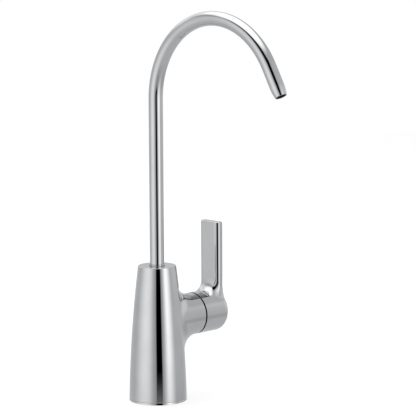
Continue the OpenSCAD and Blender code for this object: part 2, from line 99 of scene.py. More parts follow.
# Sizes of the branch. Its fillet grows towards the top, and below it reaches further down the
# body's side. Both go by the sine of the direction round the branch, from and to a value.
BRANCH_R = 14.15
BRANCH_REACH = BODY_HIGH[0]
BRANCH_ROUND = 0.35
BRANCH_FILLET = 13.15
FILLET_MORE = 1.2
FILLET_MORE_SPAN = (-1, 0.2)
FILLET_DOWN = 4.6
FILLET_DOWN_SPAN = (-1, 0.7)
MOUTH_R = 11.5
MOUTH_X = 24.9
MOUTH_ROUND = 0.15
CHAMBER_R = 10.5
CHAMBER_X = 7.0
CHAMBER_ROUND = 0.5

# Rows and columns of the body's mesh, and the windows in its side
TURNS = 128
ROUND_STEPS = 4
SIDE_ROWS = [10, 36, 6, 4, 5]
BRANCH_WINDOW_LOW = 18
BRANCH_WINDOW_HIGH = 84
BRANCH_WINDOW_COLUMNS = (-28, 28)
SCREW_WINDOW_HALF = 3
SCREW_WINDOW_COLUMNS = (28, 36)
WINDOW_ROWS = 9
WINDOW_GROWTH = 1.3
FILLET_ROWS = 17
BRANCH_ROWS = 9

# Sizes of the trim ring below the body
RING_IN = 16.9
RING_TOP_R = 19.05
RING_ROUND = 0.12

# Sizes of the lever. The blade's inner edges are three arcs, by radius and the angle where each ends.
HUB_X = LEVER_LOW[0]
HUB_END = LEVER_HIGH[0]
HUB_EDGE = 5.4
BLADE_TOP = LEVER_HIGH[2] - 0.15
BLADE_W = 17.3
BLADE_OUT = HUB_END - 2.05
BLADE_IN = BLADE_OUT - 5.7
BLADE_ARCS = ((2.5, 44), (5.1, 56), (2.4, 90))
BLADE_BACK_EDGE = 1.2
BLADE_TOP_EDGE = 0.8
INNER_FILLET = 8.5
SIDE_FILLET = 11.0
SWEEP_LOW = VALVE_Z + 2
SWEEP_HIGH = VALVE_Z + 30
CAVITY_R = 11.3
CAVITY_X = HUB_X + 5.8
SPLINE_R = 4.1
SPLINE_END = HUB_X + 16.1
PLUG_R = 2.93
PLUG_X = HUB_X + 10.5
PLUG_TOP = VALVE_Z - 11.4
SCREW_R = 2.45
HOLE_ROUND = 0.4

# Lattice of the lever's mesh
LEVER_STEP = 0.45
LEVER_ROOM = 1.3 * LEVER_STEP
NUDGE = 0.001
SETTLE_ROUNDS = 6
SETTLE_HOLD = 1e-4
NEARLY_FLUSH = 0.995

# Sizes of the spout and rows of its mesh
TUBE_R = 4.75
TUBE_BORE_R = 3.85
TUBE_FOOT = node_box("spout_tube")[0][2]
TUBE_ROUND = 0.2
RISER_TOP = 202.2
BEND_R = 55.7
BEND_ANGLE = math.radians(150)
END_LEN = 20.8
TIP_LEN = 7.5
TIP_R = 3.85
TIP_BORE_R = 3.45
TIP_BORE_LEN = 9.4
TIP_ROUND = 0.16
TIP_RIM = 1.5 * TIP_ROUND
TIP_ROWS = 13
TUBE_TURNS = 64
TUBE_ROW = 2.0


# Meshes

def ring_quads(rows, columns):
    """Corners of the quads between rows of points, with the last column joined to the first."""
    index = np.arange(rows * columns).reshape(rows, columns)
    index = np.hstack([index, index[:, :1]])
    return np.stack([index[:-1, :-1], index[:-1, 1:], index[1:, 1:], index[1:, :-1]], -1)


class Shell:
    """Quads with a normal at each corner, gathered patch by patch."""

    def __init__(self):
        self.points, self.quads, self.normals, self.count = [], [], [], 0

    def add(self, points, quads, corner_normals):
        """Add quads, and turn over those that face away from their normals."""
        a, b, c, d = (points[quads[:, i]] for i in range(4))
        facing = np.einsum("ij,ij->i", np.cross(c - a, d - b), corner_normals.sum(1))
        away = facing < 0
        quads, corner_normals = quads.copy(), corner_normals.copy()
        quads[away] = quads[away, ::-1]
        corner_normals[away] = corner_normals[away, ::-1]
        self.points.append(points)
        self.quads.append(quads + self.count)
        self.normals.append(corner_normals)
        self.count += len(points)

    def grid(self, points, normals):
        """Add a patch of rows that close round."""
        quads = ring_quads(*points.shape[:2]).reshape(-1, 4)
        self.add(points.reshape(-1, 3), quads, normals.reshape(-1, 3)[quads])


def make_piece(name, shell, body, *replaced):
    """Piece of a shell's quads, with equal points joined, that rides on a body."""
    points = np.concatenate(shell.points)
    quads = np.concatenate(shell.quads)
    normals = np.concatenate(shell.normals)
    _, first, same = np.unique(points.round(JOIN_DIGITS), axis=0, return_index=True, return_inverse=True)
    quads = same.reshape(-1)[quads]
    faces, corners = [], []
    for quad, corner_normals in zip(quads.tolist(), normals):
        kept = [i for i in range(4) if quad[i] != quad[i - 1]]
        if len(kept) > 2:
            faces.append([quad[i] for i in kept])
            corners.extend(corner_normals[kept])
    mesh = bpy.data.meshes.new(name)
    mesh.from_pydata((points[first] * MM).tolist(), [], faces)
    mesh.polygons.foreach_set("use_smooth", np.ones(len(faces), bool))
    mesh.update()
    corners = np.array(corners)
    mesh.normals_split_custom_set(corners / np.linalg.norm(corners, axis=1, keepdims=True))
    piece = bpy.data.objects.new(name, mesh)
    scene.collection.objects.link(piece)
    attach(piece, body)
    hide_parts(*replaced)
    return piece


def ease(value, start, end):
    """Smooth rise from nought at a start to one at an end."""
    t = np.clip((value - start) / (end - start), 0, 1)
    return t * t * (3 - 2 * t)


def even_angles(count):
    return 2 * math.pi * np.arange(count) / count


def outline(*corners):
    """Strips of a profile through corners, each given as place along, radius and rounding.

    A row of a strip is place, radius and the normal's two parts. The outside is where the
    profile's radius grows while the profile runs forwards.
    """
    corners = np.array(corners, float)
    spots, rounding = corners[:, :2], corners[:, 2]
    ways = np.diff(spots, axis=0)
    ways /= np.linalg.norm(ways, axis=1, keepdims=True)
    outs = np.column_stack([-ways[:, 1], ways[:, 0]])
    strips, start = [], spots[0]
    for i, way in enumerate(ways):
        end, arc = spots[i + 1], None
        if i + 1 < len(ways) and rounding[i + 1] > 0:
            cross = way[0] * ways[i + 1][1] - way[1] * ways[i + 1][0]
            angle = math.atan2(cross, way @ ways[i + 1])
            reach = rounding[i + 1] * math.tan(abs(angle) / 2)
            end = spots[i + 1] - way * reach
            side = rounding[i + 1] * -math.copysign(1, angle)
            share = np.linspace(0, 1, ROUND_STEPS + 1)
            turn_to = math.atan2(outs[i][1], outs[i][0]) + angle * share
            out = np.column_stack([np.cos(turn_to), np.sin(turn_to)])
            arc = np.column_stack([end - side * outs[i] + side * out, out])
        if np.linalg.norm(end - start) > TINY:
            strips.append(np.array([[*start, *outs[i]], [*end, *outs[i]]]))
        start = end
        if arc is not None:
            strips.append(arc)
            start = arc[-1, :2]
    return strips


def divided(strip, length):
    """A straight strip cut into rows of at most a length."""
    reach = np.linalg.norm(strip[-1, :2] - strip[0, :2])
    share = np.linspace(0, 1, max(1, math.ceil(reach / length)) + 1)[:, None]
    return strip[0] + (strip[-1] - strip[0]) * share


def turned(shell, strips, origin, along, side, angles):
    """Revolve strips about a line."""
    around = np.cos(angles)[:, None] * side + np.sin(angles)[:, None] * np.cross(along, side)
    for strip in strips:
        place, radius, lean, out = (column[:, None, None] for column in strip.T)
        shell.grid(origin + place * along + radius * around, lean * along + out * around)


# Body: the bowed side is an arc in the half plane of radius and height
CHORD = math.hypot(BASE_R - TOP_R, BODY_H)
ARC_REACH = math.sqrt(FLANK_R**2 - CHORD**2 / 4)
ARC_R = (BASE_R + TOP_R) / 2 - ARC_REACH * BODY_H / CHORD
ARC_Z = BODY_H / 2 - ARC_REACH * (BASE_R - TOP_R) / CHORD


def flank(angle, height):
    """Points and normals of the body's side."""
    radius = ARC_R + np.sqrt(FLANK_R**2 - (height - ARC_Z) ** 2)
    out, lean = (radius - ARC_R) / FLANK_R, (height - ARC_Z) / FLANK_R
    cosine, sine = np.cos(angle), np.sin(angle)
    points = np.stack([radius * cosine, radius * sine, height + 0 * angle], -1)
    return points, np.stack([out * cosine, out * sine, lean + 0 * angle], -1)


def flank_corner(height, end):
    """Start of a rounded edge on the side at a height, its corner at the end and its radius."""
    points, normals = flank(0.0, height)
    slope = -normals[2] / normals[0]
    corner = points[0] + slope * (end - height)
    reach = math.hypot(corner - points[0], end - height)
    lean = math.atan(slope) * math.copysign(1, end - height)
    bend = math.pi / 2 - lean if end > height else math.pi / 2 + lean
    return (height, points[0], 0), (end, corner, reach / math.tan(abs(bend) / 2))


def flank_window(shell, columns, rows, heights, loop):
    """Quads of the side between a frame of its columns and rows and a loop of angle and height."""
    (left, right), (low, high) = columns, rows
    corners = [(left, low), (right, low), (right, high), (left, high), (left, low)]
    frame_points, turn_to = [], []
    for i in range(4):
        (c0, r0), (c1, r1) = corners[i], corners[i + 1]
        count = max(abs(c1 - c0), abs(r1 - r0))
        for k in range(count):
            c, r = c0 + (c1 - c0) * k // count, r0 + (r1 - r0) * k // count
            frame_points.append((2 * math.pi * c / TURNS, heights[r]))
            turn_to.append(math.pi / 2 * (i - 1.5 + k / count))
    turn_to = np.array(turn_to)
    inner, outer = loop(turn_to), np.array(frame_points)
    share = np.linspace(0, 1, WINDOW_ROWS)[:, None, None] ** WINDOW_GROWTH
    spots = inner + (outer - inner) * share
    shell.grid(*flank(spots[..., 0], spots[..., 1]))
    return turn_to


def branch_ball(turn_to, more=0):
    """Centre and radius of the ball that rounds the branch's root, and its ways to side and branch."""
    ball = BRANCH_FILLET + FILLET_MORE * ease(np.sin(turn_to), *FILLET_MORE_SPAN) + more
    reach = BRANCH_R + ball
    y, z = reach * np.cos(turn_to), VALVE_Z + reach * np.sin(turn_to)
    radius = ARC_R + np.sqrt((FLANK_R + ball) ** 2 - (z - ARC_Z) ** 2)
    x = np.sqrt(radius**2 - y**2)
    out, lean = (radius - ARC_R) / (FLANK_R + ball), (z - ARC_Z) / (FLANK_R + ball)
    centre = np.stack([x, y, z], -1)
    to_side = np.stack([out * x / radius, out * y / radius, lean], -1)
    to_branch = np.stack([0 * y, np.cos(turn_to), np.sin(turn_to)], -1)
    return centre, ball[:, None], to_side, to_branch


def branch_foot(turn_to):
    """Where the branch's root leaves the body's side, with the ball there and its way to the side."""
    more = FILLET_DOWN * ease(-np.sin(turn_to), *FILLET_DOWN_SPAN)
    centre, ball, to_side, _ = branch_ball(turn_to, more)
    return centre - ball * to_side, ball, to_side


def branch_root(turn_to):
    """Points and normals from the body's side to the branch, on curves that are nearly arcs."""
    touch, side_ball, to_side = branch_foot(turn_to)
    centre, ball, _, to_branch = branch_ball(turn_to)
    root = centre - ball * to_branch
    cosine = (to_side * to_branch).sum(-1, keepdims=True)
    bend = np.arccos(cosine)
    handle = 4 / 3 * np.tan(bend / 4) / np.sin(bend)
    from_side = handle * side_ball * (cosine * to_side - to_branch)
    to_root = handle * ball * (to_side - cosine * to_branch)
    t = np.linspace(0, 1, FILLET_ROWS)[:, None, None]
    s = 1 - t
    points = (s**3 * touch + 3 * t * s**2 * (touch + from_side)
              + 3 * t**2 * s * (root - to_root) + t**3 * root)
    along = s**2 * from_side + 2 * t * s * (root - to_root - touch - from_side) + t**2 * to_root
    normals = np.cross(np.roll(points, -1, 1) - np.roll(points, 1, 1), along)
    normals *= np.sign((normals * (to_side + to_branch)).sum(-1, keepdims=True))
    normals /= np.linalg.norm(normals, axis=-1, keepdims=True)
    normals[0], normals[-1] = to_side, to_branch
    return points, normals


def branch_loop(turn_to):
    touch = branch_foot(turn_to)[0]
    return np.stack([np.arctan2(touch[:, 1], touch[:, 0]), touch[:, 2]], -1)


def screw_loop(turn_to):
    height = SCREW_HOLE_Z + SCREW_HOLE_R * np.sin(turn_to)
    radius = flank(0.0, height)[0][..., 0]
    return np.stack([np.arccos(-SCREW_HOLE_R * np.cos(turn_to) / radius), height], -1)


def body_shell():
    shell = Shell()
    angles = even_angles(TURNS)
    rim_start, rim = flank_corner(BODY_H - RIM_RISE, BODY_H)
    foot_start, foot = flank_corner(FOOT_Z + FOOT_RISE, FOOT_Z)
    top = outline(rim_start, rim, (BODY_H, SOCKET_R, SOCKET_ROUND), (SOCKET_Z, SOCKET_R, 0),
                  (SOCKET_Z, 0, 0))
    bottom = outline((SHANK_BORE_TOP, 0, 0), (SHANK_BORE_TOP, SHANK_BORE_R, 0),
                     (FOOT_Z, SHANK_BORE_R, 0), (FOOT_Z, BOSS_R, BOSS_ROUND),
                     (HOLLOW_TOP, BOSS_R, HOLLOW_ROUND), (HOLLOW_TOP, HOLLOW_R, HOLLOW_ROUND),
                     (FOOT_Z, HOLLOW_R, HOLLOW_RIM_ROUND), foot, foot_start)
    turned(shell, top + bottom, 0, Z, X, angles)

    # The side, with a window for the branch and one at the back for the retaining screw
    stops = [foot_start[0], BRANCH_WINDOW_LOW, SCREW_HOLE_Z - SCREW_WINDOW_HALF,
             SCREW_HOLE_Z + SCREW_WINDOW_HALF, BRANCH_WINDOW_HIGH, rim_start[0]]
    heights = np.concatenate([np.linspace(a, b, n, endpoint=False)
                              for a, b, n in zip(stops, stops[1:], SIDE_ROWS)] + [stops[-1:]])
    row = np.cumsum([0] + SIDE_ROWS)
    branch_window = (BRANCH_WINDOW_COLUMNS, (row[1], row[4]))
    screw_window = (SCREW_WINDOW_COLUMNS, (row[2], row[3]))
    points, normals = flank(angles + 0 * heights[:, None], heights[:, None] + 0 * angles)
    keep = np.ones((len(heights) - 1, TURNS), bool)
    for (left, right), (low, high) in (branch_window, screw_window):
        keep[low:high, np.arange(left, right) % TURNS] = False
    quads = ring_quads(len(heights), TURNS)[keep]
    shell.add(points.reshape(-1, 3), quads, normals.reshape(-1, 3)[quads])

    # The branch: rounded root, straight run, mouth and valve chamber
    around = flank_window(shell, *branch_window, heights, branch_loop)
    points, normals = branch_root(around)
    shell.grid(points, normals)
    root, to_branch = points[-1], normals[-1]
    end = root.copy()
    end[:, 0] = BRANCH_REACH - BRANCH_ROUND
    share = np.linspace(0, 1, BRANCH_ROWS)[:, None, None]
    shell.grid(root + (end - root) * share, to_branch + 0 * share)
    mouth = outline((BRANCH_REACH - BRANCH_ROUND, BRANCH_R, 0), (BRANCH_REACH, BRANCH_R, BRANCH_ROUND),
                    (BRANCH_REACH, MOUTH_R, MOUTH_ROUND), (MOUTH_X, MOUTH_R, 0), (MOUTH_X, CHAMBER_R, 0),
                    (CHAMBER_X, CHAMBER_R, CHAMBER_ROUND), (CHAMBER_X, 0, 0))
    turned(shell, mouth, VALVE_Z * Z, X, Y, around)

    # The hole of the retaining screw
    around = flank_window(shell, *screw_window, heights, screw_loop)
    edge = flank(*screw_loop(around).T)[0]
    inner = edge.copy()
    inner[:, 1] = SCREW_HOLE_END
    middle = np.broadcast_to(SCREW_HOLE_END * Y + SCREW_HOLE_Z * Z, inner.shape)
    inward = np.stack([np.cos(around), 0 * around, -np.sin(around)], -1)
    shell.grid(np.stack([edge, inner]), np.stack([inward, inward]))
    shell.grid(np.stack([inner, middle]), np.stack([0 * inward + Y] * 2))
    return shell


def ring_shell():
    shell = Shell()
    low, high = RING_LOW[2], RING_HIGH[2]
    middle = (low + high) / 2
    ring = outline((middle, RING_IN, 0), (low, RING_IN, RING_ROUND), (low, BASE_R, RING_ROUND),
                   (high, RING_TOP_R, RING_ROUND), (high, RING_IN, RING_ROUND), (middle, RING_IN, 0))
    turned(shell, ring, 0, Z, X, even_angles(TURNS))
    return shell


# Spout: a profile swept along riser, bend and straight end

def tube_line(place):
    """Point and direction of the tube's middle line at a length from the body's foot."""
    turn_to = np.clip((place - RISER_TOP) / BEND_R, 0, BEND_ANGLE)
    rest = place - turn_to * BEND_R
    beyond = np.maximum(rest - RISER_TOP, 0)
    way = np.stack([0 * place, -np.sin(turn_to), np.cos(turn_to)], -1)
    point = np.stack([0 * place, -BEND_R * (1 - np.cos(turn_to)),
                      np.minimum(rest, RISER_TOP) + BEND_R * np.sin(turn_to)], -1)
    return point + beyond[..., None] * way, way


def swept(shell, strips):
    """Sweep strips along the tube's middle line."""
    angles = even_angles(TUBE_TURNS)[None, :, None]
    for strip in strips:
        point, way = (part[:, None] for part in tube_line(strip[:, 0]))
        around = np.cos(angles) * X + np.sin(angles) * np.cross(way, X)
        radius, lean, out = (column[:, None, None] for column in strip.T[1:])
        shell.grid(point + radius * around, lean * way + out * around)


def spout_shell():
    shell = Shell()
    end = RISER_TOP + BEND_R * BEND_ANGLE + END_LEN
    taper = end - TIP_LEN
    foot = outline((TUBE_FOOT, TUBE_BORE_R, 0), (TUBE_FOOT, TUBE_R, TUBE_ROUND), (taper, TUBE_R, 0))
    share = np.linspace(0, 1 - TIP_RIM / TIP_LEN, TIP_ROWS)
    slope = -2 * (TUBE_R - TIP_R) * share / TIP_LEN
    length = np.hypot(1, slope)
    tip = np.column_stack([taper + TIP_LEN * share, TUBE_R - (TUBE_R - TIP_R) * share**2,
                           -slope / length, 1 / length])
    corner = tip[-1, 1] + slope[-1] * (end - tip[-1, 0])
    rim = outline((*tip[-1, :2], 0), (end, corner, TIP_ROUND), (end, TIP_BORE_R, TIP_ROUND / 2),
                  (end - TIP_BORE_LEN, TIP_BORE_R, 0), (end - TIP_BORE_LEN, TUBE_BORE_R, 0),
                  (TUBE_FOOT, TUBE_BORE_R, 0))
    strips = [divided(strip, TUBE_ROW) if len(strip) == 2 else strip for strip in foot + rim]
    swept(shell, strips + [tip])
    return shell


# Lever: quads on the zero surface of distance fields, which are negative inside

def round_corner(a, b, radius):
    """Intersection of two regions with its edge rounded."""
    u, w = a + radius, b + radius
    return np.minimum(np.maximum(u, w), 0) + np.hypot(np.maximum(u, 0), np.maximum(w, 0)) - radius


def arc_chain(arcs):
    """Centre, radius and end of each arc of an edge that turns from one region's face to the other's."""
    point, angle, chain = np.zeros(2), 0.0, []
    for radius, end in arcs:
        centre = point - radius * np.array([math.cos(angle), math.sin(angle)])
        angle = math.radians(end)
        point = centre + radius * np.array([math.cos(angle), math.sin(angle)])
        chain.append((centre, radius, angle))
    return [(centre - np.array([0, point[1]]), radius, angle) for centre, radius, angle in chain]


def chain_corner(a, b, chain):
    """Intersection of two regions with its edge rounded by arcs.

    The second result is the part of each normal that points along the second region's.
    """
    near = (b > chain[0][0][1]) & (a > chain[-1][0][0])
    value, turn = np.maximum(a, b), np.where(b > a, 1.0, 0.0)
    for centre, radius, end in reversed(chain):
        u, w = a - centre[0], b - centre[1]
        reach = np.maximum(np.hypot(u, w), TINY)
        mine = near & (np.arctan2(w, u) < end)
        value, turn = np.where(mine, reach - radius, value), np.where(mine, w / reach, turn)
    return value, turn


def ball_fillet(a, b, cosine, radius):
    """Union of two regions with the fillet that a rolling ball leaves.

    The cosine is that of the angle between the two surfaces' normals.
    """
    cosine = np.minimum(cosine, NEARLY_FLUSH)
    u, w = np.minimum(a - radius, 0), np.minimum(b - radius, 0)
    between = (u < cosine * w) & (w < cosine * u)
    reach = np.maximum(u * u + w * w - 2 * u * w * cosine, 0) / (1 - cosine * cosine)
    return np.where(between, radius - np.sqrt(reach), np.minimum(a, b))


def lever_skin(x, y, z):
    """Hub and blade, with the blade's root rounded into the hub and one face over both."""
    around = np.maximum(np.hypot(y, z - VALVE_Z), TINY)
    hub = around - BRANCH_R
    face, side = BLADE_IN - x, np.abs(y) - BLADE_W / 2
    blade, sideways = chain_corner(face, side, arc_chain(BLADE_ARCS))
    fillet = INNER_FILLET + (SIDE_FILLET - INNER_FILLET) * sideways**2
    joined = ball_fillet(hub, blade, sideways * np.abs(y) / around, fillet)
    skin = np.where(z > SWEEP_LOW, joined, hub)
    sweep = ease(z, SWEEP_LOW, SWEEP_HIGH)
    outer = HUB_END + (BLADE_OUT - HUB_END) * sweep
    skin = round_corner(skin, x - outer, HUB_EDGE + (BLADE_BACK_EDGE - HUB_EDGE) * sweep)
    return round_corner(skin, z - BLADE_TOP, BLADE_TOP_EDGE)


def lever_seam(x, y, z):
    return HUB_X - x


def lever_cavity(x, y, z):
    around = np.hypot(y, z - VALVE_Z)
    spline = round_corner(around - SPLINE_R, x - SPLINE_END, HOLE_ROUND)
    return -np.minimum(round_corner(around - CAVITY_R, x - CAVITY_X, HOLE_ROUND), spline)


def lever_plug_hole(x, y, z):
    around = np.hypot(x - PLUG_X, y)
    screw = round_corner(around - SCREW_R, z - VALVE_Z, HOLE_ROUND)
    return -np.minimum(round_corner(around - PLUG_R, z - PLUG_TOP, HOLE_ROUND), screw)


def slopes(field, points):
    """Gradient of a field at points."""
    return np.stack([(field(*(points + NUDGE * axis).T) - field(*(points - NUDGE * axis).T)) / (2 * NUDGE)
                     for axis in (X, Y, Z)], -1)


def shortened(moves, most):
    """Moves cut to a greatest length."""
    reach = np.linalg.norm(moves, axis=1, keepdims=True)
    return moves * np.minimum(1, most / np.maximum(reach, TINY))


def crossed_edges(fields, low, high, step):
    """Lattice edges that cross the surface: the cells round each, the field there and the crossing."""
    axes = [np.arange(a, b + step, step) for a, b in zip(low, high)]
    lattice = np.meshgrid(*axes, indexing="ij")
    value = np.max([field(*lattice) for field in fields], axis=0)
    cells = tuple(n - 1 for n in value.shape)
    rings, owners, crossings = [], [], []
    for axis in range(3):
        first = np.moveaxis(value, axis, 0)[:-1]
        second = np.moveaxis(value, axis, 0)[1:]
        found = np.argwhere((first < 0) != (second < 0))
        before, after = first[tuple(found.T)], second[tuple(found.T)]
        other = [i for i in range(3) if i != axis]
        spot = np.empty_like(found)
        spot[:, [axis, *other]] = found
        crossing = np.array(low) + step * spot
        crossing[:, axis] += step * (before / (before - after))
        ring = []
        for offset in ((0, 0), (1, 0), (1, 1), (0, 1)):
            cell = spot.copy()
            cell[:, other] -= offset
            ring.append(np.ravel_multi_index(tuple(cell.T), cells))
        rings.append(np.stack(ring, -1))
        owners.append(np.argmax([field(*crossing.T) for field in fields], axis=0))
        crossings.append(crossing)
    return map(np.concatenate, (rings, owners, crossings))


def settled(fields, active, middle, step):
    """Points moved from the middle of their crossings onto the fields that meet there."""
    points = middle.copy()
    for _ in range(SETTLE_ROUNDS):
        pull = np.zeros((len(points), 3, 3)) + SETTLE_HOLD * np.eye(3)
        push = np.zeros((len(points), 3))
        for field, on in zip(fields, active):
            slope = slopes(field, points[on])
            pull[on] += slope[:, :, None] * slope[:, None, :]
            push[on] -= slope * field(*points[on].T)[:, None]
        points += shortened(np.linalg.solve(pull, push[..., None])[..., 0], step / 2)
        points = middle + shortened(points - middle, step)
    return points


def contoured(fields, low, high, step):
    """Shell on the surface where the largest of the fields is zero, with sharp creases between fields."""
    rings, owners, crossings = crossed_edges(fields, low, high, step)
    _, index = np.unique(rings, return_inverse=True)
    quads = index.reshape(rings.shape)
    count = quads.max() + 1
    middle, hits = np.zeros((count, 3)), np.zeros((count, 1))
    active = np.zeros((len(fields), count), bool)
    for corner in quads.T:
        np.add.at(middle, corner, crossings)
        np.add.at(hits, corner, 1)
        active[owners, corner] = True
    points = settled(fields, active, middle / hits, step)
    corner_normals = np.zeros((len(quads), 4, 3))
    for number, field in enumerate(fields):
        mine = owners == number
        slope = slopes(field, points)
        slope /= np.maximum(np.linalg.norm(slope, axis=1, keepdims=True), TINY)
        corner_normals[mine] = slope[quads[mine]]
    shell = Shell()
    shell.add(points, quads, corner_normals)
    return shell


def lever_shell():
    return contoured([lever_skin, lever_seam, lever_cavity, lever_plug_hole],
                     LEVER_LOW - LEVER_ROOM, LEVER_HIGH + LEVER_ROOM, LEVER_STEP)


# Finishes
NOISE_LOW = 0.3
NOISE_HIGH = 0.7


class Finish:
    """A procedural material, with short calls for its nodes."""

    def __init__(self, name):
        self.material = bpy.data.materials.new(name)
        self.material.use_nodes = True
        self.tree = self.material.node_tree
        self.shader = self.tree.nodes["Principled BSDF"]
        self.place = self.tree.nodes.new("ShaderNodeTexCoord").outputs["Object"]

    def node(self, kind, **inputs):
        """A node with values of its inputs, which are named with underscores for spaces."""
        made = self.tree.nodes.new(kind)
        for key, value in inputs.items():
            made.inputs[key.replace("_", " ")].default_value = value
        return made

    def link(self, output, target):
        self.tree.links.new(output, target)

    def noise(self, scale, detail, stretch=(1, 1, 1)):
        """Noise of a number of lumps a metre."""
        spread = self.node("ShaderNodeMapping", Scale=stretch)
        noise = self.node("ShaderNodeTexNoise", Scale=scale, Detail=detail)
        self.link(self.place, spread.inputs["Vector"])
        self.link(spread.outputs["Vector"], noise.inputs["Vector"])
        return noise.outputs["Fac"]

    def colours(self, source, low, high):
        """A colour from noise, between two stops of place and colour."""
        ramp = self.node("ShaderNodeValToRGB")
        for stop, (place, colour) in zip(ramp.color_ramp.elements, (low, high)):
            stop.position, stop.color = place, (*colour, 1)
        self.link(source, ramp.inputs["Fac"])
        self.link(ramp.outputs["Color"], self.shader.inputs["Base Color"])

    def roughness(self, source, low, high):
        """A roughness between low and high, from noise."""
        span = self.node("ShaderNodeMapRange", From_Min=NOISE_LOW, From_Max=NOISE_HIGH,
                         To_Min=low, To_Max=high)
        self.link(source, span.inputs["Value"])
        self.link(span.outputs["Result"], self.shader.inputs["Roughness"])

    def bump(self, source, height):
        """Relief of a height in millimetres."""
        bump = self.node("ShaderNodeBump", Strength=1, Distance=height * MM)
        self.link(source, bump.inputs["Height"])
        self.link(bump.outputs["Normal"], self.shader.inputs["Normal"])

    def set(self, **values):
        for key, value in values.items():
            self.shader.inputs[key.replace("_", " ")].default_value = value
        return self.material


def chrome():
    made = Finish("polished_chrome")
    made.colours(made.noise(60, 4), (0.35, (0.505, 0.512, 0.522)), (0.65, (0.535, 0.542, 0.552)))
    made.roughness(made.noise(240, 6), 0.012, 0.035)
    made.bump(made.noise(90, 1), 0.0004)
    return made.set(Metallic=1.0)


def brass():
    made = Finish("turned_brass")
    made.colours(made.noise(140, 5), (0.3, (0.56, 0.36, 0.12)), (0.7, (0.72, 0.50, 0.20)))
    marks = made.noise(500, 4, (0.2, 0.2, 6))
    made.roughness(marks, 0.22, 0.42)
    made.bump(marks, 0.006)
    return made.set(Metallic=1.0)


def rubber():
    made = Finish("moulded_rubber")
    made.colours(made.noise(900, 6), (0.3, (0.012, 0.012, 0.012)), (0.7, (0.030, 0.029, 0.028)))
    made.roughness(made.noise(400, 4), 0.62, 0.85)
    made.bump(made.noise(3000, 3), 0.012)
    return made.set(Specular_IOR_Level=0.35)


def steel():
    made = Finish("brushed_steel")
    grain = made.noise(700, 5, (1, 1, 0.06))
    made.colours(grain, (0.3, (0.44, 0.44, 0.45)), (0.7, (0.60, 0.60, 0.61)))
    made.roughness(grain, 0.24, 0.42)
    made.bump(grain, 0.004)
    return made.set(Metallic=1.0)


def ceramic():
    made = Finish("lapped_ceramic")
    made.colours(made.noise(1500, 6), (0.35, (0.78, 0.76, 0.71)), (0.6, (0.86, 0.85, 0.81)))
    made.roughness(made.noise(600, 3), 0.12, 0.24)
    made.bump(made.noise(4000, 2), 0.001)
    return made.set(Specular_IOR_Level=0.6)


def acetal():
    made = Finish("moulded_acetal")
    made.colours(made.noise(300, 5), (0.3, (0.66, 0.63, 0.54)), (0.7, (0.76, 0.74, 0.66)))
    made.roughness(made.noise(900, 4), 0.34, 0.5)
    made.bump(made.noise(2200, 3), 0.003)
    return made.set(Subsurface_Weight=0.05)


# Near black plastic with almost no gloss: partly the parts' own colour and partly painted shade. In the flow
# straightener, deep in the spout's opening, it stands for the shade there.
def black_plastic():
    made = Finish("moulded_dark_plastic_painted_shade")
    made.colours(made.noise(800, 5), (0.3, (0.004, 0.004, 0.004)), (0.7, (0.008, 0.008, 0.009)))
    made.roughness(made.noise(1200, 4), 0.55, 0.75)
    made.bump(made.noise(2500, 3), 0.004)
    return made.set(Specular_IOR_Level=0.05)


finishes = {made.__name__: made() for made in (chrome, brass, rubber, steel, ceramic, acetal, black_plastic)}
SOLID_SLOTS = {
    "chrome": ["lever_plug"],
    "brass": ["shank", "cartridge_housing", "cartridge_nut", "spindle", "spout_end"],
    "rubber": ["base_gasket", "shank_seal", "deck_washer", "seat_seal", "housing_ring", "spindle_rings",
               "spout_rings"],
    "steel": ["clamp_washer", "mounting_nut", "lever_screw", "spout_keep_screw"],
    "ceramic": ["fixed_disc", "moving_disc"],
    "acetal": ["thrust_washer", "spout_bush"],
    # The flow straightener's near black is partly painted shade of the spout's opening.
    "black_plastic": ["glide_ring", "flow_straightener"],
}
for slot_name, names in SOLID_SLOTS.items():
    for name in names:
        if not nodes[name].material_slots:
            nodes[name].data.materials.append(None)
        for material_slot in nodes[name].material_slots:
            material_slot.material = finishes[slot_name]

for name, made_shell, body_name, node_name in (
    ("body_casting", body_shell(), "tap_body", "body"),
    ("foot_trim", ring_shell(), "tap_body", "foot_ring"),
    ("spout_gooseneck", spout_shell(), "spout", "spout_tube"),
    ("lever_handle", lever_shell(), "lever_group", "lever"),
):
    piece = make_piece(name, made_shell, body_name, node_name)
    piece.data.materials.append(finishes["chrome"])


# Studio: a white floor, and a tent of soft panels that the chrome mirrors. Place and sensor of the camera
# are in millimetres, picture and focal length in pixels, and the clip, tent and floor in metres.
CAMERA_AT = np.array([-1072.2, -1144.6, 372.2])
CAMERA_TURN = math.radians(45.627)
CAMERA_PITCH = math.radians(8.802)
CAMERA_ROLL = math.radians(-0.285)
CAMERA_CLIP = (0.05, 20)
SENSOR = 36
PICTURE = 416
FOCAL_PIXELS = 2395
TENT_R = 1.6
TENT_NEAR = 0.8
TENT_NEAR_FROM = (30, 30)
TENT_Z = 0.24
TENT_Y = -0.055
TENT_COLUMN = 1.5
TENT_ROWS = 121
FLOOR_RINGS = (1.5, 0.8, 0.2, 0.05, 0.0001)
FLOOR_Z = -0.00005
FLOOR_COLOUR = 0.32
FLOOR_GLOW = 0.74

# Light of the tent, in angles about its middle: azimuth 0 is towards the camera and grows to the right.
# An edge is an angle and its softness, a spread is a middle, a half width and its softness.
BASE_LIGHT = 0.71
NO_EDGE = (180, 1)

# Panels: level of light, spread in azimuth, lower and upper edge
BACK = 1.30, (-149, 11, 41), (15, 14), NO_EDGE
FILL = 1.33, (-54.5, 0, 59), (-32, 55), (28, 56)
FILL_LEAN = 0.5
FILL_LEAN_FROM = 4
FILL_LEAN_RISE = 24
KEY = 1.86, (48, 0, 36), (-22, 38), (18, 44)

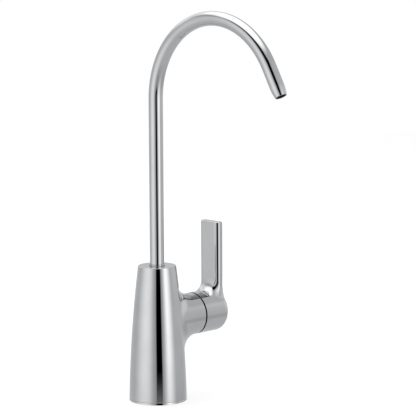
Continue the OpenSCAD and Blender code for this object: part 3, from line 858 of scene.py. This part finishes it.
# Soft patches: change of light, spread in azimuth and spread in elevation
RIGHT_GLOW = 0.29, (115, 10, 22), (9, 6, 18)
RIGHT_GLOW_TOP = 82
RIGHT_GLOW_SLOPE = 0.5
RIGHT_GLOW_SOFT = 14
RIGHT_FOOT = -0.11, (105, 22, 26), (-25.3, 4, 5.5)
FAR_RIGHT = -0.20, (154, 8, 18), (18, 8, 10)
KEY_TOP = 0.20, (62, 12, 26), (28, 4, 12)
BACK_TOP = -0.20, (-127, 30, 30), (29.5, 1.5, 3.5)
BACK_LEFT = -0.12, (-104, 8, 14), (27, 6, 8)

# The gap between fill and key, and the black card in it
GAP_AT = 6
GAP_LEVEL = 0.47
GAP_DARK = 8
GAP_LEFT = 45
GAP_RIGHT = 42
GAP_RIGHT_LESS = 9
GAP_RIGHT_SPAN = (8, 22)
GAP_LOW = (-38, 28)
GAP_HIGH = (45, 8)
CARD_HALF = 9.9
CARD_SOFT = 5.4
CARD_LEFT = 0.5
CARD_LEAN = 3.3
CARD_LEAN_SPAN = (6, 22)
CARD_FOOT_LEAN = 0.17
CARD_FOOT_TOP = -8
CARD_FOOT_DEPTH = 8
CARD_LOW = (-19.5, 9)
CARD_HIGH = (47, 8)

# The round softbox, by its height, middle and radius in metres, and the black flag below its front left edge
BOX_LEVEL = 1.9
BOX_Z = 1.5
BOX_RIGHT = -0.27
BOX_FRONT = -0.44
BOX_EDGE = (1.36, 0.65)
BOX_SPAN = (1, 89.9)
BOX_LOWEST = 2
FLAG_LEFT = (-88, 16)
FLAG_RIGHT = (5, 16)
FLAG_WAY = (0.8, -0.6)
FLAG_TOP = (1.0, 0.28)
FLAG_AT = -60
FLAG_LOW = 40.5
FLAG_RIGHT_FALL = 0.32
FLAG_LEFT_FALL = 0.14
FLAG_LOW_SOFT = 14


def beside(value, middle, half, soft):
    """One within a half width of a middle angle, fading over a soft edge."""
    return 1 - ease(np.abs((value - middle + 180) % 360 - 180), half, half + soft)


def above(value, edge, soft):
    return ease(value, edge - soft / 2, edge + soft / 2)


def below(value, edge, soft):
    return 1 - above(value, edge, soft)


def covered(light, azimuth, elevation, level, across, low, high):
    """Light with a panel in front of it."""
    cover = beside(azimuth, *across) * above(elevation, *low) * below(elevation, *high)
    return light + (level - light) * cover


def patch(azimuth, elevation, change, across, upright):
    """Light of a soft patch."""
    return change * beside(azimuth, *across) * beside(elevation, *upright)


def gap_and_card(light, azimuth, elevation):
    """Light that darkens towards the gap, and how much of it a black card there leaves."""
    gap = azimuth - GAP_AT
    right = GAP_RIGHT - GAP_RIGHT_LESS * ease(elevation, *GAP_RIGHT_SPAN)
    shade = 1 - ease(np.abs(gap), GAP_DARK, np.where(gap < 0, GAP_LEFT, right))
    shade *= above(elevation, *GAP_LOW) * below(elevation, *GAP_HIGH)
    lean = CARD_LEAN * ease(elevation, *CARD_LEAN_SPAN)
    foot = CARD_FOOT_LEAN * np.clip(CARD_FOOT_TOP - elevation, 0, CARD_FOOT_DEPTH)
    card = beside(gap + CARD_LEFT - foot + lean, 0, CARD_HALF + lean, CARD_SOFT)
    card *= above(elevation, *CARD_LOW) * below(elevation, *CARD_HIGH)
    return light + (GAP_LEVEL - light) * shade, 1 - card


def box_and_flag(light, azimuth, elevation):
    """Light with the softbox overhead, and how much of it the black flag leaves."""
    out = BOX_Z / np.tan(np.radians(np.clip(elevation, *BOX_SPAN)))
    right, front = out * np.sin(np.radians(azimuth)), out * np.cos(np.radians(azimuth))
    box = below(np.hypot(right - BOX_RIGHT, front - BOX_FRONT), *BOX_EDGE) * (elevation > BOX_LOWEST)
    turn = azimuth - FLAG_AT
    low = FLAG_LOW - FLAG_RIGHT_FALL * np.maximum(turn, 0) + FLAG_LEFT_FALL * np.minimum(turn, 0)
    flag = above(azimuth, *FLAG_LEFT) * below(azimuth, *FLAG_RIGHT) * above(elevation, low, FLAG_LOW_SOFT)
    flag *= above(FLAG_WAY[0] * front + FLAG_WAY[1] * right, *FLAG_TOP)
    return light + (BOX_LEVEL - light) * box, 1 - flag


def panel_light(azimuth, elevation):
    """Light of the tent by direction."""
    azimuth = (azimuth + 180) % 360 - 180
    glow = patch(azimuth, elevation, *RIGHT_GLOW)
    glow *= below(elevation, RIGHT_GLOW_TOP - RIGHT_GLOW_SLOPE * azimuth, RIGHT_GLOW_SOFT)
    light = BASE_LIGHT + glow
    light += patch(azimuth, elevation, *RIGHT_FOOT) + patch(azimuth, elevation, *FAR_RIGHT)
    light = covered(light, azimuth, elevation, *BACK)
    leaning = azimuth + FILL_LEAN * np.clip(elevation - FILL_LEAN_FROM, 0, FILL_LEAN_RISE)
    light = covered(light, leaning, elevation, *FILL)
    light += patch(azimuth, elevation, *KEY_TOP)
    light = covered(light, azimuth, elevation, *KEY)
    light += patch(azimuth, elevation, *BACK_TOP) + patch(azimuth, elevation, *BACK_LEFT)
    light, past_card = gap_and_card(light, azimuth, elevation)
    light, past_flag = box_and_flag(light, azimuth, elevation)
    return light * past_card * past_flag


def stage_mesh(name, points, material):
    """A stage object of rows of points round the object."""
    quads = ring_quads(*points.shape[:2]).reshape(-1, 4)
    mesh = bpy.data.meshes.new(name)
    mesh.from_pydata(points.reshape(-1, 3).tolist(), [], quads.tolist())
    mesh.materials.append(material)
    made = bpy.data.objects.new(name, mesh)
    scene.collection.objects.link(made)
    return made


def camera_axes():
    """Right, up and forward of the camera."""
    level = np.array([math.cos(CAMERA_TURN), math.sin(CAMERA_TURN), 0])
    right = np.array([math.sin(CAMERA_TURN), -math.cos(CAMERA_TURN), 0])
    forward = math.cos(CAMERA_PITCH) * level - math.sin(CAMERA_PITCH) * Z
    up = math.sin(CAMERA_PITCH) * level + math.cos(CAMERA_PITCH) * Z
    cosine, sine = math.cos(CAMERA_ROLL), math.sin(CAMERA_ROLL)
    return cosine * right + sine * up, cosine * up - sine * right, forward


def bare_material(name):
    """A material without nodes but its output, and its node tree and that output's surface."""
    material = bpy.data.materials.new(name)
    material.use_nodes = True
    tree = material.node_tree
    tree.nodes.clear()
    return material, tree, tree.nodes.new("ShaderNodeOutputMaterial").inputs["Surface"]


def tent_material():
    """Glow by the level of light at each point."""
    material, tree, surface = bare_material("studio_panels")
    level = tree.nodes.new("ShaderNodeAttribute")
    level.attribute_name = "level"
    glow = tree.nodes.new("ShaderNodeEmission")
    tree.links.new(level.outputs["Fac"], glow.inputs["Strength"])
    tree.links.new(glow.outputs["Emission"], surface)
    return material


def floor_material():
    """White to the camera, shaded by the object, and clear from below."""
    material, tree, surface = bare_material("studio_floor")
    path = tree.nodes.new("ShaderNodeLightPath")
    strength = tree.nodes.new("ShaderNodeMath")
    strength.operation = "MULTIPLY"
    strength.inputs[1].default_value = FLOOR_GLOW
    matt = tree.nodes.new("ShaderNodeBsdfDiffuse")
    matt.inputs["Color"].default_value = (FLOOR_COLOUR,) * 3 + (1,)
    glow = tree.nodes.new("ShaderNodeEmission")
    both = tree.nodes.new("ShaderNodeAddShader")
    side = tree.nodes.new("ShaderNodeNewGeometry")
    clear = tree.nodes.new("ShaderNodeBsdfTransparent")
    mix = tree.nodes.new("ShaderNodeMixShader")
    for output, target in (
        (path.outputs["Is Camera Ray"], strength.inputs[0]), (strength.outputs[0], glow.inputs["Strength"]),
        (matt.outputs[0], both.inputs[0]), (glow.outputs[0], both.inputs[1]),
        (side.outputs["Backfacing"], mix.inputs["Fac"]), (both.outputs[0], mix.inputs[1]),
        (clear.outputs[0], mix.inputs[2]), (mix.outputs[0], surface),
    ):
        tree.links.new(output, target)
    return material


right_axis, up_axis, forward_axis = camera_axes()
camera = bpy.data.objects.new("camera", bpy.data.cameras.new("camera"))
camera.data.sensor_width = SENSOR
camera.data.lens = SENSOR * FOCAL_PIXELS / PICTURE
camera.data.clip_start, camera.data.clip_end = CAMERA_CLIP
placed = np.eye(4)
placed[:3] = np.column_stack([right_axis, up_axis, -forward_axis, CAMERA_AT * MM])
camera.matrix_world = Matrix(placed.tolist())
scene.collection.objects.link(camera)
scene.camera = camera

# The tent stands round the object, by azimuth from the camera, and is drawn in overhead
azimuths = np.arange(0, 360, TENT_COLUMN)
elevations = np.linspace(-90, 90, TENT_ROWS)
turns = np.radians(azimuths)[:, None]
rise = np.radians(elevations)[:, None, None]
to_camera = CAMERA_AT[:2] / np.linalg.norm(CAMERA_AT[:2])
to_right = right_axis[:2] / np.linalg.norm(right_axis[:2])
overhead = above(elevations, *TENT_NEAR_FROM)[:, None, None]
reach = TENT_R - (TENT_R - TENT_NEAR) * overhead
outward = reach * np.cos(rise) * (np.cos(turns) * to_camera + np.sin(turns) * to_right)
outward += np.array([0, TENT_Y]) * overhead
tent_points = np.concatenate([outward, TENT_Z + reach * np.sin(rise) + 0 * outward[..., :1]], -1)
tent = stage_mesh("studio_tent", tent_points, tent_material())
tent_levels = panel_light(*np.meshgrid(azimuths, elevations))
tent.data.attributes.new("level", "FLOAT", "POINT").data.foreach_set(
    "value", tent_levels.ravel().astype(np.float32))
tent.visible_camera = False

# The floor's rings run inwards, so that it faces up
floor_reach = np.array(FLOOR_RINGS)[:, None, None]
floor_points = np.concatenate([floor_reach * np.cos(turns), floor_reach * np.sin(turns),
                               FLOOR_Z + 0 * floor_reach * turns], -1)
floor = stage_mesh("studio_floor", floor_points, floor_material())
floor.visible_glossy = False

world = bpy.data.worlds.new("studio_world")
world.use_nodes = True
world.node_tree.nodes["Background"].inputs["Color"].default_value = (1, 1, 1, 1)
world.node_tree.nodes["Background"].inputs["Strength"].default_value = 1
scene.world = world
scene.view_settings.view_transform = "Standard"
